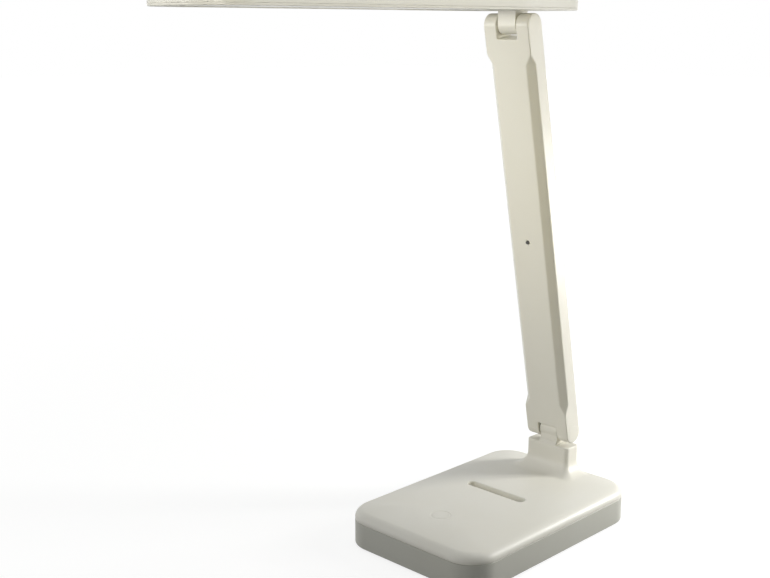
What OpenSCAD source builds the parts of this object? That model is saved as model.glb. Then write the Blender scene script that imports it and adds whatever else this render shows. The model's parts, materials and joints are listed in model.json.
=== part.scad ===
// Folding desk lamp: weighted base with a phone groove and a touch ring, a two-ended
// folding arm and a flat light head. The origin is at the middle of the face the lamp
// stands on, the front is -Y, up is +Z, and both hinges turn about X.

/* [Base] */
// Length of the base, front to back
base_l = 152; // [130:1:180]
// Width of the base
base_w = 102; // [84:1:120]
// Corner radius of the base in plan
base_r = 18; // [17.5:0.5:26]
// Wall of the two base shells
base_wall = 2.2; // [1.8:0.1:2.8]
// Height of the rim of the bottom shell above the table
rim_z = 15.7; // [15:0.1:20]
// Gap that shows as a line between the two base shells
seam = 0.3; // [0.2:0.05:0.5]
// Upright band at the edge of the top cover
band_h = 0.8; // [0.5:0.1:2]
// Rise of the crowned top above its band
crown_rise = 6.7; // [4:0.1:8]
// How far in from the edge the crown levels off
crown_run = 16; // [8:0.5:16.5]
// How far the anti-slip pad stands below the shell
pad_drop = 0.8; // [0.5:0.1:1.5]
// Thickness of the anti-slip pad
pad_t = 1.2; // [1:0.1:2]
// Distance from the edge of the base to the pad
pad_inset = 5; // [3:0.5:8]

/* [Phone groove] */
// Length of the groove a phone stands in
groove_l = 43; // [36:1:60]
// Width of the groove
groove_w = 6.4; // [5.5:0.1:9]
// Depth of the groove below the top of the base
groove_depth = 8; // [6:0.5:9]
// Distance of the groove in front of or behind the middle of the base
groove_y = 4; // [0:1:12]
// Wall round the groove
groove_wall = 1.6; // [1.2:0.1:2]

/* [Touch ring] */
// Outer diameter of the marked ring
ring_d = 12; // [9:0.5:16]
// Width of the ring's line
ring_line = 0.8; // [0.6:0.1:1.2]
// Distance of the ring's middle behind the front edge of the base
ring_back = 30; // [24:1:36]
// Depth of the ring's line
ring_deep = 0.3; // [0.2:0.05:0.5]

/* [Neck] */
// Height of the lower hinge axis above the table
hinge_z = 50; // [47:0.5:60]
// Distance of the lower hinge axis in front of the base's back edge
hinge_back = 15.7; // [13:0.1:20]
// Drop from the lower axis to the neck's shoulders
shoulder_drop = 8.9; // [8.5:0.1:11]
// Radius of the flare where the neck grows out of the base
flare_r = 9; // [5:0.5:10]

/* [Arm] */
// Distance between the two hinge axes
arm_l = 255; // [248:1:300]
// Width of the arm and neck
arm_w = 31.5; // [30:0.5:36]
// Thickness of the arm and neck
arm_t = 12.6; // [12.4:0.2:15]
// Forward lean of the arm as the lamp stands
arm_lean = 11.5; // [5:0.5:20]
// Wall of the arm's front shell
arm_wall = 2; // [1.6:0.1:2.2]
// Width of the channel inside the arm
channel_w = 22; // [20:0.5:22.5]
// Thickness of the lid that closes the arm's back
lid_t = 1.6; // [1.2:0.1:2]
// Width of the stopped chamfer on the front face
cham_front = 4.2; // [2:0.1:4.6]
// Width of the stopped chamfer on the side face
cham_side = 3.8; // [2:0.1:4.4]
// Distance from each axis to the chamfer's pointed end
cham_start = 15; // [12:0.5:24]
// Length of the chamfer's pointed end
cham_point = 6.5; // [4:0.5:12]

/* [Hinges] */
// Width of the knuckle between the arm's cheeks
knuckle_w = 12.6; // [11:0.2:13.6]
// Radius of the knuckle's barrel
knuckle_r = 5.4; // [5:0.1:5.8]
// Space beside the knuckle that the friction washers fill
washer_gap = 0.7; // [0.5:0.05:0.9]
// Play on each face of a friction washer
washer_play = 0.05; // [0.03:0.01:0.1]
// Radius of the friction washers
washer_r = 4.6; // [4:0.1:5]
// Radius of the hinge pins
pin_r = 2; // [1.6:0.1:2.4]
// Radial running clearance of the pins
pin_play = 0.05; // [0.03:0.01:0.08]
// Distance from the lower axis to the front of its knuckle's stem
stem_front = 4.4; // [4:0.1:4.6]
// Room between a knuckle and the arm around it
knuckle_gap = 0.4; // [0.3:0.1:0.6]
// Depth of the upper slot below its axis
upper_slot = 7; // [6.4:0.1:8]
// Radius of the caps over the pin ends
cap_r = 4.2; // [3.8:0.1:4.6]
// Thickness of the caps over the pin ends
cap_t = 1.2; // [1:0.1:1.6]

/* [Head] */
// Width of the light head
head_w = 62; // [54:1:74]
// Reach of the head in front of the upper axis
head_front = 231; // [190:1:234]
// Length of the head behind the upper axis
head_rear = 33; // [24:0.5:36]
// Corner radius of the head in plan
head_r = 22; // [16:0.5:26]
// Thickness of the head
head_t = 12; // [11.6:0.2:15]
// Wall of the head's top shell
head_wall = 1.8; // [1.4:0.1:2.2]
// Run and rise of the head's rounded top edge
head_edge = 3.6; // [2:0.2:4]
// Clear gap between the arm's end and the head's underside
head_gap = 1.4; // [1.2:0.1:2.5]
// Thickness of the bezel's floor
bezel_t = 1.2; // [1:0.1:1.6]
// Border between the head's outline and the lit window
window_border = 7; // [6:0.5:10]
// Distance from the upper axis to the near end of the lit window
window_near = 16; // [15:1:24]
// Thickness of the diffuser panel
diffuser_t = 1.5; // [1.2:0.1:2]
// Thickness of the light guide
guide_t = 2; // [1.5:0.1:2.5]
// Number of LED chips on each strip
led_count = 18; // [10:1:24]

/* [Inside the base] */
// Thickness of the steel weight plate
plate_t = 3; // [2:0.2:4]
// Battery length across the base
battery_l = 56; // [40:1:60]
// Battery width along the base
battery_w = 38; // [30:1:40]
// Battery thickness
battery_t = 6; // [4:0.5:6.5]
// Height of the stand-offs under the circuit board
standoff_h = 2.5; // [2:0.1:3]
// Thickness of the circuit board
board_t = 1.6; // [1:0.1:1.6]

/* [Hidden] */
$fn = 48;

ivory = [0.91, 0.90, 0.84];
ivory_shade = [0.86, 0.85, 0.79];
grey_rubber = [0.35, 0.35, 0.34];
steel = [0.72, 0.73, 0.75];
brass = [0.80, 0.66, 0.36];
board_green = [0.10, 0.38, 0.24];
dark_part = [0.13, 0.13, 0.14];
milky = [0.96, 0.96, 0.93];

// Small named clearances
fit_gap = 0.15;
touch = 0.02;
cut = 1;

// Base heights and places
cover_z = rim_z + seam;
crown_z = cover_z + band_h;
top_z = crown_z + crown_rise;
floor_z = pad_drop + base_wall;
plate_z = floor_z + plate_t;
hinge_y = base_l / 2 - hinge_back;
shoulder_z = hinge_z - shoulder_drop;
ring_y = ring_back - base_l / 2;
groove_floor = top_z - groove_depth;
lip_t = 1.2;
lip_h = 2;

// Base screws, one near each corner
screw_in_x = 15;
screw_in_y = 16;
screw_x = base_w / 2 - screw_in_x;
screw_y = base_l / 2 - screw_in_y;
screw_r = 1.5;
screw_head_r = 2.8;
screw_head_h = 1.8;
screw_edge = 0.4;
boss_r = 4;
boss_top = 9;
boss_hole_top = 15;
head_floor = floor_z + screw_edge;

// Weight plate: its gap to the side walls, to the screws' bosses, and its corners
plate_in_x = 4;
plate_in_y = 2;
plate_r = 8;

// Stepped hollow under the crown: how far in from the edge each step starts
cavity_steps = [base_wall, base_wall + 4, base_wall + 9];

// Touch electrode under the ring, with its stalk down to the battery
electrode_t = 0.6;
electrode_edge = 1;
electrode_z = crown_at(cavity_steps[2]) - base_wall - electrode_t - touch;
stalk_r = 1;
battery_x = -14;
battery_back = 22;

// Circuit board, its stand-offs and screws
board_w = 56;
board_front = 21;
board_edge = 3.8;
board_back = base_l / 2 - base_wall - board_edge;
board_l = board_back - board_front;
board_z = plate_z + standoff_h;
board_screw_in = 4;
board_screw_x = board_w / 2 - board_screw_in;
board_screw_rear = 8;
board_screw_back = screw_y - boss_r - board_screw_rear;
standoff_r = 2.2;
standoff_floor = 0.5;
small_r = 1;
small_head_r = 1.8;
small_head_h = 1.2;

// Socket on the board's back edge
usb_w = 9;
usb_h = 3.2;
usb_l = 7.4;
usb_back = base_l / 2 - 0.6;
usb_z = board_z + board_t;
usb_wall = 0.35;
usb_tongue_x = 3.2;

// Parts on the board: how far each is to the side, and behind the board's front edge
chip_at = [-10, 14];
chip_w = 9;
chip_h = 1;
charger_at = [12, 12];
charger_w = 6;
charger_l = 5;
coil_at = [10, 26];
coil_w = 7;
coil_h = 2.6;
plug_at = [-14, 6];
plug_w = 8;
plug_l = 5;
plug_h = 3;
cap_row_at = [-20, 27];
cap_row_step = 4;
cap_row_count = 4;
cap_row_w = 1.6;
cap_row_l = 3;
cap_row_h = 0.9;

// Arm and hinge sizes
end_r = arm_t / 2;
slot_w = knuckle_w + 2 * washer_gap;
slot_r = knuckle_r + knuckle_gap;
lower_slot = stem_front + 0.3;
channel_start = 15;
lid_w = channel_w + 3.6;
lid_start = channel_start - 1.5;
arm_boss_at = channel_start + 7;
bar_w = 14;
bar_t = 2;
bar_start = arm_boss_at + 5;
bar_y = arm_wall - end_r;
lead_r = 0.9;
arm_boss_r = 3;
arm_screw_head_h = 0.9;
pin_head_r = 3.3;
pin_head_h = 1.8;
upper_y = hinge_y - arm_l * sin(arm_lean);
upper_z = hinge_z + arm_l * cos(arm_lean);

// Buffer on the front of the arm that the folded head rests on
buffer_r = 1.1;
buffer_deep = 1.2;
buffer_proud = 0.5;

// Knuckle's stem inside the neck, its screws and the lid behind it
stem_foot = 24;
knuckle_screw_low = 4.5;
knuckle_screw_high = 11;
knuckle_screw_z = [stem_foot + knuckle_screw_low, stem_foot + knuckle_screw_high];
knuckle_screw_bite = 1.2;
neck_lid_x = 10;
neck_lid_t = end_r - stem_front - fit_gap;
neck_lid_z = stem_foot + 0.6;
neck_lid_top = shoulder_z - 2;

// Head heights, measured from the upper axis
head_l = head_front + head_rear;
head_mid = (head_rear - head_front) / 2;
under_z = end_r + head_gap;
head_top = under_z + head_t;
bezel_z = under_z + bezel_t;
window_l = head_front - window_border - window_near;
window_w = head_w - 2 * window_border;
window_mid = -window_near - window_l / 2;
window_r = head_r - window_border;
panel_lip = 1.6;
diffuser_z = under_z + 0.5;
guide_z = bezel_z + panel_lip;
guide_w = window_w - 2;
sheet_t = 0.3;
sheet_z = guide_z + guide_t;
back_z = sheet_z + sheet_t;
back_t = 0.8;
strip_t = 1;
strip_x = guide_w / 2 + 1.1;
strip_l = window_l - 2 * window_r - 4;
strip_drop = 0.2;
led_w = 2.8;
led_t = 0.4;
led_h = 1.2;
head_boss_r = 3;
flange_z = bezel_z + 1.7;
flange_t = 2.6;
flange_x = 14;
flange_front = 9;
flange_rear = 17;
flange_screw_x = 10.5;
flange_screw_y = [-5.5, 13.5];
flange_screw_bite = 3.2;
bezel_screw_in_x = 12;
bezel_screw_in_y = 16.5;
bezel_screw_x = head_w / 2 - bezel_screw_in_x;
bezel_screw_y = head_rear - bezel_screw_in_y;
bezel_screw_l = 6;
bezel_screw_deep = 0.5;

// Plan outline with round corners, w along X and l along Y
module plan(w, l, r) {
  square([w - 2 * r, l], center = true);
  square([w, l - 2 * r], center = true);
  for (x = [-1, 1], y = [-1, 1]) translate([x * (w / 2 - r), y * (l / 2 - r)]) circle(r);
}

module slab(w, l, r, z, h) {
  translate([0, 0, z]) linear_extrude(h) plan(w, l, r);
}

// Quarter ellipse from the upright edge to the level top
function crown(edge, run, rise, z) =
  [for (i = [0:8]) [edge - run + run * cos(i * 90 / 8), z + rise * sin(i * 90 / 8)]];

// Half and full sections of a block with a crowned top
function half_section(r, run, rise, z0, z1) =
  concat([[0, z0], [r, z0]], crown(r, run, rise, z1), [[0, z1 + rise]]);

function full_section(w, run, rise, z0, z1) =
  let (side = crown(w / 2, run, rise, z1))
  concat([[-w / 2, z0], [w / 2, z0]], side, [for (i = [8:-1:0]) [-side[i][0], side[i][1]]]);

// Rounded block with a crowned top: four turned corners and two prisms
module crowned_block(w, l, r, run, rise, z0, z1) {
  rotate([90, 0, 0]) linear_extrude(l - 2 * r, center = true)
    polygon(full_section(w, run, rise, z0, z1));
  rotate([90, 0, 90]) linear_extrude(w - 2 * r, center = true)
    polygon(full_section(l, run, rise, z0, z1));
  for (x = [-1, 1], y = [-1, 1]) translate([x * (w / 2 - r), y * (l / 2 - r), 0])
    rotate_extrude() polygon(half_section(r, run, rise, z0, z1));
}

module x_rod(r, l) {
  rotate([0, 90, 0]) cylinder(r = r, h = l, center = true);
}

module y_rod(r, y0, y1) {
  translate([0, y1, 0]) rotate([90, 0, 0]) cylinder(r = r, h = y1 - y0);
}

module block(x, y0, y1, z0, z1) {
  translate([-x, y0, z0]) cube([2 * x, y1 - y0, z1 - z0]);
}

module at_lower() {
  translate([0, hinge_y, hinge_z]) children();
}

module at_upper() {
  translate([0, upper_y, upper_z]) children();
}

// Frame of the arm: its length along Z, its front face towards -Y
module in_arm() {
  at_lower() rotate([arm_lean, 0, 0]) children();
}

module at_base_screws() {
  for (x = [-1, 1], y = [-1, 1]) translate([x * screw_x, y * screw_y, 0]) children();
}

module anti_slip_pad() color(grey_rubber)
  slab(base_w - 2 * pad_inset, base_l - 2 * pad_inset, base_r - pad_inset, 0, pad_t);

module base_bottom_shell() color(ivory_shade) difference() {
  union() {
    difference() {
      slab(base_w, base_l, base_r, pad_drop, rim_z - pad_drop);
      slab(base_w - 2 * base_wall, base_l - 2 * base_wall, base_r - base_wall, floor_z, rim_z);
    }
    at_base_screws() translate([0, 0, floor_z - touch]) cylinder(r = boss_r, h = boss_top - floor_z);
  }
  slab(base_w - 2 * pad_inset + 2 * fit_gap, base_l - 2 * pad_inset + 2 * fit_gap,
    base_r - pad_inset + fit_gap, 0, pad_t);
  at_base_screws() {
    cylinder(r = screw_r + fit_gap, h = rim_z);
    cylinder(r = screw_head_r + fit_gap, h = head_floor);
  }
  translate([0, 0, usb_z + usb_h / 2]) usb_outline(fit_gap, base_l / 2 - base_wall - cut, base_l / 2 + cut);
}

// Stadium section of the socket, from y0 to y1
module usb_outline(grow, y0, y1) {
  r = usb_h / 2 + grow;
  for (x = [-1, 1]) translate([x * (usb_w - usb_h) / 2, 0, 0]) y_rod(r, y0, y1);
  block((usb_w - usb_h) / 2, y0, y1, -r, r);
}

// Groove outline with round ends
module groove_shape(grow) {
  r = groove_w / 2 + grow;
  square([groove_l - groove_w, 2 * r], center = true);
  for (x = [-1, 1]) translate([x * (groove_l - groove_w) / 2, 0]) circle(r);
}

module neck_flare() {
  w = arm_w / 2;
  front = hinge_y - end_r;
  translate([0, 0, top_z]) {
    for (s = [0, 1]) mirror([s, 0, 0]) {
      translate([w, hinge_y + end_r, 0]) rotate([90, 0, 0]) linear_extrude(arm_t) flare_face();
      translate([w, front, 0]) rotate_extrude() flare_face();
    }
    translate([-w, front, 0]) rotate([90, 0, -90]) mirror([0, 0, 1]) linear_extrude(arm_w) flare_face();
  }
}

// Hollow curve where the neck meets the base, level at its foot and upright at its top
function hollow(r) = [for (i = [0:8]) [r - r * sin(i * 90 / 8), r - r * cos(i * 90 / 8)]];

module flare_face()
  polygon(concat([[0, -crown_rise], [flare_r, -crown_rise]], hollow(flare_r)));

// Height of the crowned top at a distance in from the edge
function crown_at(d) = crown_z + crown_rise * sqrt(1 - pow(1 - d / crown_run, 2));

module base_top_cover() color(ivory) difference() {
  union() {
    difference() {
      crowned_block(base_w, base_l, base_r, crown_run, crown_rise, cover_z, crown_z);
      for (d = cavity_steps) slab(base_w - 2 * d, base_l - 2 * d, base_r - d, cover_z - cut,
        crown_at(d) - base_wall - cover_z + cut);
    }
    cover_lip();
    intersection() {
      crowned_block(base_w, base_l, base_r, crown_run, crown_rise, boss_top + seam, crown_z);
      union() {
        at_base_screws() translate([0, 0, boss_top + seam]) cylinder(r = boss_r, h = top_z);
        translate([0, groove_y, groove_floor - groove_wall]) linear_extrude(top_z)
          groove_shape(groove_wall);
      }
    }
    translate([0, hinge_y, 0]) block(arm_w / 2, -end_r, end_r, top_z - base_wall, shoulder_z);
    neck_flare();
    tongue_foot();
  }
  translate([0, groove_y, groove_floor]) linear_extrude(top_z) groove_shape(0);
  translate([0, ring_y, top_z - ring_deep]) difference() {
    cylinder(r = ring_d / 2, h = cut);
    translate([0, 0, -cut]) cylinder(r = ring_d / 2 - ring_line, h = 3 * cut);
  }
  at_base_screws() cylinder(r = screw_r + touch, h = boss_hole_top);
  neck_pocket();
}

module cover_lip() {
  inner = base_wall + fit_gap;
  difference() {
    slab(base_w - 2 * inner, base_l - 2 * inner, base_r - inner, cover_z - lip_h, lip_h + base_wall);
    slab(base_w - 2 * (inner + lip_t), base_l - 2 * (inner + lip_t), base_r - inner - lip_t,
      cover_z - lip_h - cut, lip_h + base_wall + 2 * cut);
  }
}

// Wedge that leads the neck's front face back to the knuckle
module tongue_foot() {
  step = end_r - stem_front - fit_gap;
  translate([-knuckle_w / 2, hinge_y - end_r, shoulder_z]) rotate([90, 0, 90])
    linear_extrude(knuckle_w) polygon([[0, -cut], [0, 0], [step, step], [step, -cut]]);
}

// Space inside the neck for the knuckle's stem, with the lid's recess at the back
module neck_pocket() {
  translate([0, hinge_y, 0]) {
    block(knuckle_w / 2 + fit_gap, -stem_front - fit_gap, stem_front + fit_gap, stem_foot, hinge_z);
    block(neck_lid_x + fit_gap, end_r - neck_lid_t, end_r + cut, neck_lid_z - fit_gap,
      neck_lid_top + fit_gap);
    for (z = knuckle_screw_z) translate([0, 0, z])
      y_rod(small_r + touch, -stem_front - knuckle_screw_bite - fit_gap, 0);
  }
}

module neck_back_cover() color(ivory) translate([0, hinge_y, 0])
  block(neck_lid_x, end_r - neck_lid_t + touch, end_r, neck_lid_z, neck_lid_top);

module neck_knuckle() color(ivory) difference() {
  union() {
    at_lower() x_rod(knuckle_r, knuckle_w);
    translate([0, hinge_y, 0])
      block(knuckle_w / 2, -stem_front, stem_front, stem_foot + touch, hinge_z);
  }
  at_lower() x_rod(pin_r + pin_play, knuckle_w + 2 * cut);
  translate([0, hinge_y, 0]) for (z = knuckle_screw_z) translate([0, 0, z]) {
    y_rod(small_r + fit_gap, -stem_front - cut, stem_front + cut);
    y_rod(small_head_r + fit_gap, stem_front - small_head_h, stem_front + cut);
  }
}

module neck_knuckle_screws() color(steel) translate([0, hinge_y, 0])
  for (z = knuckle_screw_z) translate([0, 0, z]) {
    y_rod(small_r, -stem_front - knuckle_screw_bite, stem_front - small_head_h + touch);
    y_rod(small_head_r, stem_front - small_head_h, stem_front - 0.1);
  }

module base_weight_plate() color(steel) difference() {
  slab(base_w - 2 * (base_wall + plate_in_x), 2 * (screw_y - boss_r - plate_in_y), plate_r,
    floor_z, plate_t);
  at_base_screws() cylinder(r = boss_r + fit_gap, h = rim_z);
}

module battery_cell() color([0.75, 0.76, 0.78])
  translate([battery_x, ring_y + battery_back, 0]) slab(battery_l, battery_w, 2, plate_z, battery_t);

module at_board_screws() {
  for (x = [-board_screw_x, board_screw_x], y = [board_front + board_screw_in, board_screw_back])
    translate([x, y, 0]) children();
}

module main_circuit_board() color(board_green) difference() {
  translate([0, (board_front + board_back) / 2, 0]) slab(board_w, board_l, 1.5, board_z, board_t);
  at_board_screws() cylinder(r = small_r + fit_gap, h = rim_z);
}

// Flat part on the board, placed from the board's front edge
module board_part(at, w, l, r, h) {
  translate([at[0], board_front + at[1], usb_z]) slab(w, l, r, 0, h);
}

module board_components() color(dark_part) {
  board_part(chip_at, chip_w, chip_w, 0.5, chip_h);
  board_part(charger_at, charger_w, charger_l, 0.4, chip_h);
  board_part(coil_at, coil_w, coil_w, 1, coil_h);
  board_part(plug_at, plug_w, plug_l, 0.5, plug_h);
  for (i = [0:cap_row_count - 1])
    board_part(cap_row_at + [i * cap_row_step, 0], cap_row_w, cap_row_l, 0.2, cap_row_h);
}

module board_standoffs() color(brass) at_board_screws() translate([0, 0, plate_z]) difference() {
  cylinder(r = standoff_r, h = standoff_h);
  translate([0, 0, standoff_floor]) cylinder(r = small_r + touch, h = standoff_h);
}

module board_screws() color(steel) at_board_screws() {
  translate([0, 0, plate_z + standoff_floor + fit_gap])
    cylinder(r = small_r, h = standoff_h + board_t - standoff_floor);
  translate([0, 0, usb_z + touch]) cylinder(r = small_head_r, h = small_head_h);
}

module usb_c_socket() color(steel) translate([0, 0, usb_z + usb_h / 2]) difference() {
  usb_outline(0, usb_back - usb_l, usb_back);
  difference() {
    usb_outline(-usb_wall, usb_back - usb_l + 1, usb_back + cut);
    block(usb_tongue_x, usb_back - usb_l, usb_back - 1.2, -usb_wall, usb_wall);
  }
}

module touch_electrode() color(brass) translate([0, ring_y, 0]) {
  translate([0, 0, electrode_z]) cylinder(r = ring_d / 2 + electrode_edge, h = electrode_t);
  translate([0, 0, plate_z + battery_t + touch])
    cylinder(r = stalk_r, h = electrode_z - plate_z - battery_t);
}

module base_screws() color(steel) at_base_screws() {
  translate([0, 0, head_floor - screw_head_h]) cylinder(r = screw_head_r, h = screw_head_h - touch);
  translate([0, 0, head_floor - 0.1]) cylinder(r = screw_r, h = boss_hole_top - head_floor - screw_edge);
}

// Stopped chamfer cutter on the right front edge. Its ends slope up to a point on the edge.
module chamfer_cut() {
  mid = [arm_w / 2 - cham_front / 2, cham_side / 2 - end_r];
  front = [arm_w / 2 - cham_front, -end_r];
  side = [arm_w / 2, cham_side - end_r];
  edge = [arm_w / 2, -end_r];
  f = front + (front - side) * 0.5;
  s = side + (side - front) * 0.5;
  e = edge + (edge - mid) * 0.5;
  z0 = cham_start;
  z1 = cham_start + cham_point;
  z2 = arm_l - z1;
  z3 = arm_l - z0;
  polyhedron(
    points = [
      [f[0], f[1], z1], [s[0], s[1], z1], [e[0], e[1], z0 - cham_point * 0.5],
      [f[0], f[1], z2], [s[0], s[1], z2], [e[0], e[1], z3 + cham_point * 0.5]
    ],
    faces = [[2, 1, 0], [4, 5, 3], [1, 4, 3, 0], [2, 5, 4, 1], [0, 3, 5, 2]]
  );
}

module arm_front_shell() color(ivory) in_arm() difference() {
  union() {
    block(arm_w / 2, -end_r, end_r, 0, arm_l);
    for (z = [0, arm_l]) translate([0, 0, z]) x_rod(end_r, arm_w);
  }
  chamfer_cut();
  mirror([1, 0, 0]) chamfer_cut();
  // Lower slot for the neck's knuckle
  x_rod(slot_r, slot_w);
  block(slot_w / 2, -end_r - cut, 0, -end_r - cut, lower_slot);
  block(slot_w / 2, -end_r - cut, end_r + cut, -end_r - cut, 0);
  // Upper slot for the head's knuckle
  block(slot_w / 2, -end_r - cut, end_r + cut, arm_l - upper_slot, arm_l + end_r + cut);
  for (z = [0, arm_l]) translate([0, 0, z]) hinge_bores();
  // Channel for the bar and lead, and the lid's step
  difference() {
    block(channel_w / 2, bar_y, end_r + cut, channel_start, arm_l - channel_start);
    at_arm_screws() y_rod(arm_boss_r, -end_r, end_r);
  }
  block(lid_w / 2 + fit_gap, end_r - lid_t, end_r + cut, lid_start - fit_gap,
    arm_l - lid_start + fit_gap);
  at_arm_screws() y_rod(small_r + touch, bar_y + 1, end_r);
  translate([0, 0, arm_l / 2]) y_rod(buffer_r, -end_r - cut, -end_r + buffer_deep);
}

module at_arm_screws() {
  for (z = [arm_boss_at, arm_l - arm_boss_at]) translate([0, 0, z]) children();
}

// Bore through both cheeks, with a step each side for the pin's head or nut and its cap
module hinge_bores() {
  x_rod(pin_r + pin_play, arm_w + 2 * cut);
  for (s = [0, 1]) mirror([s, 0, 0]) {
    translate([arm_w / 2 - cap_t / 2 + cut / 2, 0, 0]) x_rod(cap_r + touch, cap_t + cut);
    translate([arm_w / 2 - cap_t - pin_head_h / 2, 0, 0]) x_rod(pin_head_r + fit_gap, pin_head_h + touch);
  }
}

module arm_back_cover() color(ivory) in_arm() difference() {
  block(lid_w / 2, end_r - lid_t + touch, end_r, lid_start, arm_l - lid_start);
  at_arm_screws() {
    y_rod(small_r + fit_gap, end_r - lid_t - cut, end_r + cut);
    y_rod(small_head_r + fit_gap, end_r - arm_screw_head_h, end_r + cut);
  }
}

module arm_screws() color(steel) in_arm() at_arm_screws() {
  y_rod(small_r, bar_y + 1 + fit_gap, end_r - arm_screw_head_h + 0.1);
  y_rod(small_head_r, end_r - arm_screw_head_h + touch, end_r - 0.15);
}

module arm_stiffener() color(steel) in_arm()
  block(bar_w / 2, bar_y, bar_y + bar_t, bar_start, arm_l - bar_start);

module arm_lead() color([0.80, 0.20, 0.16]) in_arm() for (x = [-1, 1])
  translate([x * (lead_r + 0.05), bar_y + bar_t + lead_r + 0.1, bar_start + 1])
    cylinder(r = lead_r, h = arm_l - 2 * bar_start - 2);

module head_rest_buffer() color(grey_rubber) in_arm() translate([0, 0, arm_l / 2])
  y_rod(buffer_r - touch, -end_r - buffer_proud, -end_r + buffer_deep - touch);

// Pin with its head in the left cheek and its end in the right one
module hinge_pin() {
  seat = arm_w / 2 - cap_t;
  rotate([0, 90, 0]) translate([0, 0, -seat + 0.1]) cylinder(r = pin_r, h = 2 * seat - 0.4);
  translate([-seat + pin_head_h / 2, 0, 0]) x_rod(pin_head_r, pin_head_h - touch);
}

module hinge_nut() {
  translate([arm_w / 2 - cap_t - pin_head_h / 2, 0, 0]) difference() {
    x_rod(pin_head_r, pin_head_h - touch);
    x_rod(pin_r + touch, pin_head_h + cut);
  }
}

module friction_washers() {
  for (s = [0, 1]) mirror([s, 0, 0]) translate([knuckle_w / 2 + washer_gap / 2, 0, 0]) difference() {
    x_rod(washer_r, washer_gap - 2 * washer_play);
    x_rod(pin_r + pin_play, washer_gap + cut);
  }
}

module hinge_caps() {
  for (s = [0, 1]) mirror([s, 0, 0]) translate([arm_w / 2 - cap_t / 2 + touch / 2, 0, 0])
    x_rod(cap_r, cap_t - touch);
}

module lower_hinge_pin() color(steel) in_arm() hinge_pin();
module lower_hinge_nut() color(steel) in_arm() hinge_nut();
module lower_friction_washers() color(dark_part) in_arm() friction_washers();
module lower_hinge_caps() color(ivory) in_arm() hinge_caps();
module upper_hinge_pin() color(steel) in_arm() translate([0, 0, arm_l]) hinge_pin();
module upper_hinge_nut() color(steel) in_arm() translate([0, 0, arm_l]) hinge_nut();
module upper_friction_washers() color(dark_part) in_arm() translate([0, 0, arm_l]) friction_washers();
module upper_hinge_caps() color(ivory) in_arm() translate([0, 0, arm_l]) hinge_caps();

module head_plan(inset, z, h) {
  translate([0, head_mid, 0]) slab(head_w - 2 * inset, head_l - 2 * inset, head_r - inset, z, h);
}

module window_plan(grow, z, h) {
  translate([0, window_mid, 0]) slab(window_w + 2 * grow, window_l + 2 * grow, window_r + grow, z, h);
}

module at_knuckle_screws() {
  for (x = [-1, 1], y = flange_screw_y) translate([x * flange_screw_x, y, 0]) children();
}

module at_bezel_screws() {
  for (x = [-1, 1]) translate([x * bezel_screw_x, bezel_screw_y, 0]) children();
}

module head_top_shell() color(ivory) at_upper() difference() {
  union() {
    translate([0, head_mid, 0]) difference() {
      crowned_block(head_w, head_l, head_r, head_edge, head_edge, bezel_z + touch, head_top - head_edge);
      crowned_block(head_w - 2 * head_wall, head_l - 2 * head_wall, head_r - head_wall,
        head_edge - head_wall / 2, head_edge - head_wall / 2, bezel_z - cut,
        head_top - head_edge - head_wall / 2);
    }
    at_knuckle_screws() translate([0, 0, flange_z + flange_t + touch])
      cylinder(r = head_boss_r, h = head_top - head_wall / 2 - flange_z - flange_t);
    at_bezel_screws() translate([0, 0, bezel_z + touch])
      cylinder(r = head_boss_r, h = head_top - head_wall / 2 - bezel_z);
  }
  at_knuckle_screws() cylinder(r = small_r + touch, h = head_top - head_wall);
  at_bezel_screws() cylinder(r = small_r + touch, h = head_top - head_wall - 1);
}

module head_bottom_bezel() color(ivory) at_upper() difference() {
  union() {
    head_plan(0, under_z, bezel_t);
    difference() {
      head_plan(head_wall + fit_gap, under_z, bezel_t + 2.4);
      head_plan(head_wall + fit_gap + lip_t, under_z, bezel_t + 4);
    }
    window_plan(panel_lip + 1, under_z, bezel_t + panel_lip);
  }
  window_plan(0, under_z - cut, head_t);
  window_plan(panel_lip, diffuser_z, head_t);
  block(knuckle_w / 2 + fit_gap, -knuckle_r - fit_gap, knuckle_r + fit_gap, under_z - cut, head_top);
  at_bezel_screws() {
    cylinder(r = small_r + fit_gap, h = head_top);
    cylinder(r = small_head_r + fit_gap, h = under_z + bezel_screw_deep);
  }
}

module diffuser_panel() color(milky) at_upper() {
  window_plan(panel_lip - fit_gap, diffuser_z + touch, diffuser_t);
}

module light_guide() color([0.9, 0.95, 0.97, 0.6]) at_upper()
  translate([0, window_mid, 0]) slab(guide_w, window_l - 4, window_r - 2, guide_z, guide_t);

module reflector_sheet() color([0.97, 0.97, 0.97]) at_upper()
  translate([0, window_mid, 0]) slab(guide_w, window_l - 4, window_r - 2, sheet_z, sheet_t);

module head_back_plate() color(steel) at_upper()
  translate([0, window_mid, 0]) slab(window_w + 3, window_l - 2, window_r, back_z, back_t);

module led_strips() color([0.93, 0.93, 0.9]) at_upper() for (x = [-1, 1])
  translate([x * strip_x - strip_t / 2, window_mid - strip_l / 2, guide_z - strip_drop])
    cube([strip_t, strip_l, back_z - guide_z + strip_drop]);

module led_chips() color([0.95, 0.9, 0.55]) at_upper() for (x = [-1, 1], i = [0:led_count - 1])
  translate([x * (strip_x - strip_t / 2 - led_t / 2) - led_t / 2 - x * 0.05,
    window_mid + (i - (led_count - 1) / 2) * strip_l / led_count - led_w / 2, guide_z + 0.3])
    cube([led_t, led_w, led_h]);

module head_knuckle() color(ivory) at_upper() difference() {
  union() {
    x_rod(knuckle_r, knuckle_w);
    block(knuckle_w / 2, -knuckle_r, knuckle_r, 0, flange_z + touch);
    block(flange_x, -flange_front, flange_rear, flange_z, flange_z + flange_t);
  }
  x_rod(pin_r + pin_play, knuckle_w + 2 * cut);
  at_knuckle_screws() cylinder(r = small_r + fit_gap, h = head_top);
}

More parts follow.
